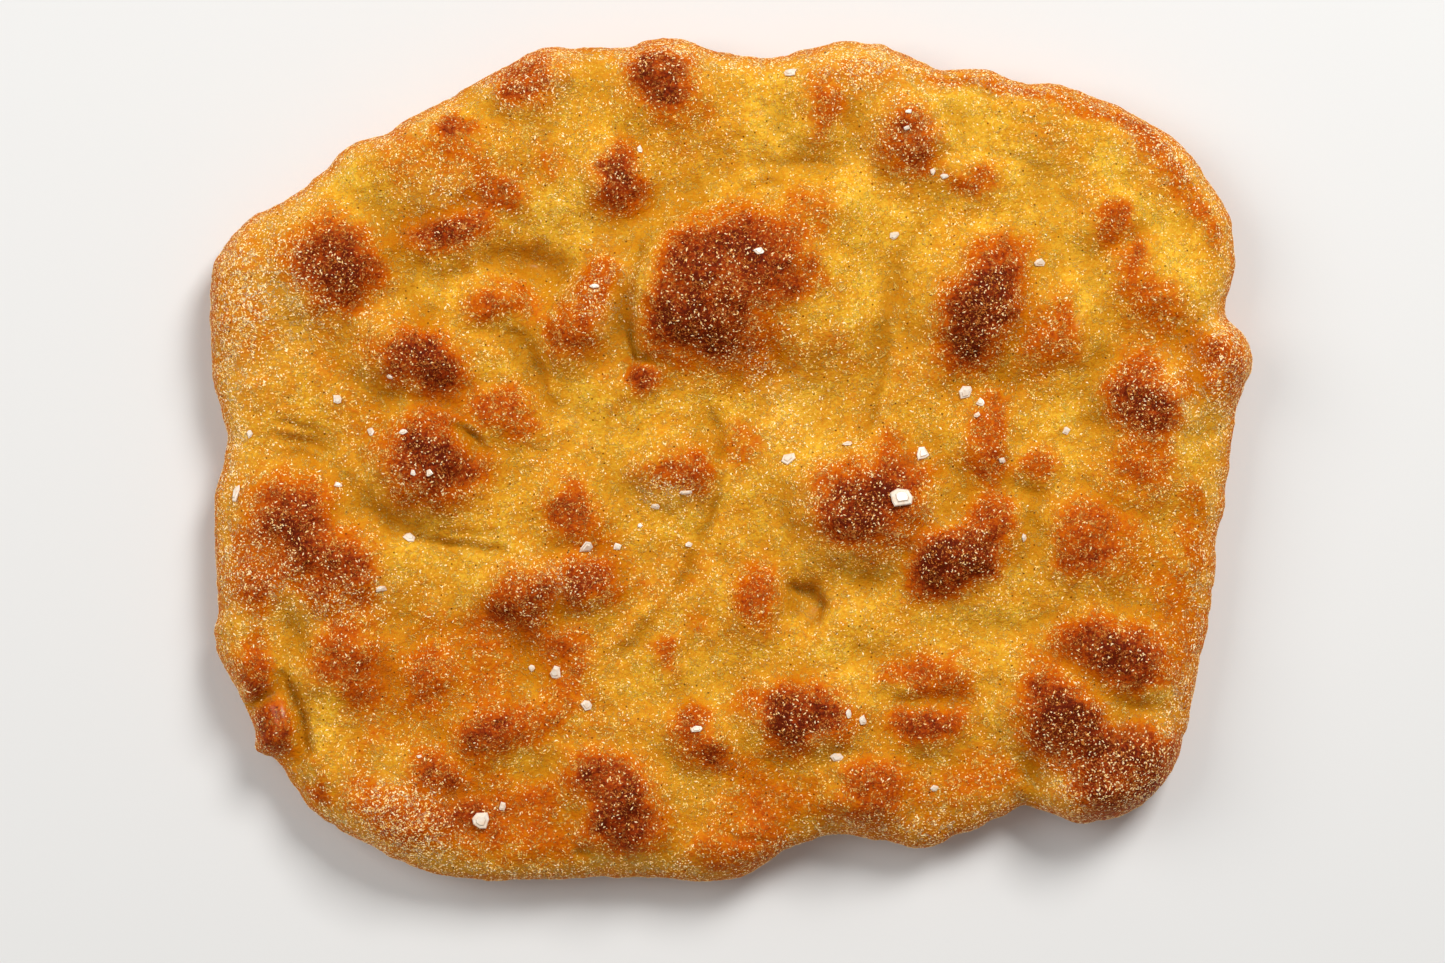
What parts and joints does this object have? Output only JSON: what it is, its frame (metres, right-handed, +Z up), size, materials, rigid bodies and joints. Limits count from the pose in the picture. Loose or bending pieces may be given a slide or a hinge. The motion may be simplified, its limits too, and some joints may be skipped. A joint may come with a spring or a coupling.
{
  "type": "focaccia bread",
  "caption": "Flat rectangular loaf of baked focaccia with rounded corners, a puffed and dimpled golden crust, dark browned blisters, semolina dusting and coarse salt flakes.",
  "frame": {"origin": "bottom centre of the bounding box, on the plane of the flat underside", "axes": "+X along the loaf's length, +Y across its width, +Z up through the crust"},
  "size_m": [0.2999, 0.2429, 0.0334],
  "materials": {
    "bread": "baked crust, golden between dark browned puffs",
    "salt": "coarse translucent salt crystal"
  },
  "bodies": {
    "root": {"bread": "bread", "salt_flake_01": "salt", "salt_flake_02": "salt", "salt_flake_03": "salt", "salt_flake_04": "salt", "salt_flake_05": "salt", "salt_flake_06": "salt", "salt_flake_07": "salt", "salt_flake_08": "salt", "salt_flake_09": "salt", "salt_flake_10": "salt", "salt_flake_11": "salt", "salt_flake_12": "salt", "salt_flake_13": "salt", "salt_flake_14": "salt", "salt_flake_15": "salt", "salt_flake_16": "salt", "salt_flake_17": "salt", "salt_flake_18": "salt", "salt_flake_19": "salt", "salt_flake_20": "salt", "salt_flake_21": "salt", "salt_flake_22": "salt", "salt_flake_23": "salt", "salt_flake_24": "salt", "salt_flake_25": "salt", "salt_flake_26": "salt", "salt_flake_27": "salt", "salt_flake_28": "salt", "salt_flake_29": "salt", "salt_flake_30": "salt", "salt_flake_31": "salt", "salt_flake_32": "salt", "salt_flake_33": "salt", "salt_flake_34": "salt", "salt_flake_35": "salt", "salt_flake_36": "salt", "salt_flake_37": "salt", "salt_flake_38": "salt", "salt_flake_39": "salt", "salt_flake_40": "salt", "salt_flake_41": "salt", "salt_flake_42": "salt", "salt_flake_43": "salt", "salt_flake_44": "salt", "salt_flake_45": "salt", "salt_flake_46": "salt", "salt_flake_47": "salt", "salt_flake_48": "salt"}
  },
  "joints": []
}
